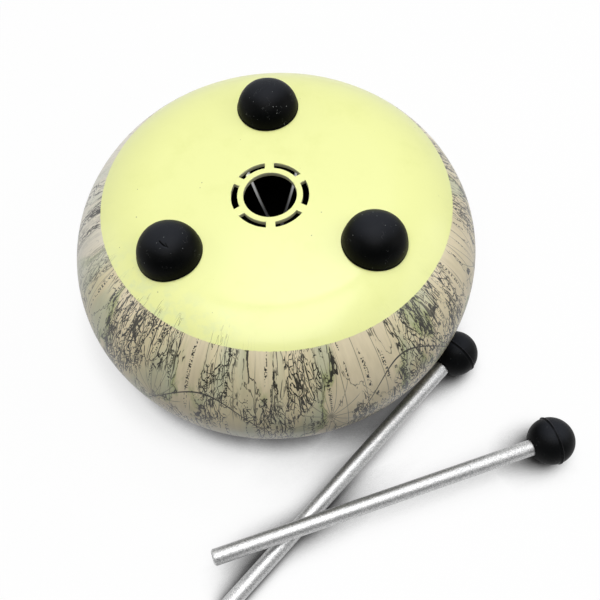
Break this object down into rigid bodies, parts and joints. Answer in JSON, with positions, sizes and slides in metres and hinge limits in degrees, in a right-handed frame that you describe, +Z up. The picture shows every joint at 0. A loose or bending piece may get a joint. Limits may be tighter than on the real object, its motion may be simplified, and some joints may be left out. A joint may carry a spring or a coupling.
{
  "type": "steel tongue drum",
  "caption": "Round lacquered steel tongue drum turned over on its tongue face, with a sound hole, dome feet and rubber-headed mallets that lift away.",
  "frame": {"origin": "on the drum's axis, in the plane of the tongue face, which is the floor the drum and the mallets lie on", "axes": "+Z up along the drum's axis from the tongue face to the base with the feet, +Y towards the back foot, +X to the right as the picture shows it"},
  "size_m": [0.2467, 0.2795, 0.105],
  "materials": {
    "print_lacquer": "satin lacquer over an old-map style print",
    "lime_lacquer": "satin pale lime lacquer",
    "foot_rubber": "matte moulded rubber",
    "adhesive_pad": "double-sided foam tape",
    "rod_metal": "bare mill finish",
    "head_rubber": "matte moulded rubber"
  },
  "bodies": {
    "drum": {"tongue_shell": "print_lacquer", "base_shell": "lime_lacquer", "foot_back": "foot_rubber", "foot_left": "foot_rubber", "foot_right": "foot_rubber", "pad_back": "adhesive_pad", "pad_left": "adhesive_pad", "pad_right": "adhesive_pad"},
    "mallet_b": {"mallet_b_rod": "rod_metal", "mallet_b_head": "head_rubber"},
    "mallet_a": {"mallet_a_rod": "rod_metal", "mallet_a_head": "head_rubber"}
  },
  "joints": [
    {"name": "mallet_b_lift", "type": "slide", "parent": "drum", "child": "mallet_b", "axis": [0.4991, -0.5009, 0.7071], "range_m": [0, 0.15]},
    {"name": "mallet_a_lift", "type": "slide", "parent": "mallet_b", "child": "mallet_a", "axis": [0, 0, 1], "range_m": [0, 0.12]}
  ]
}
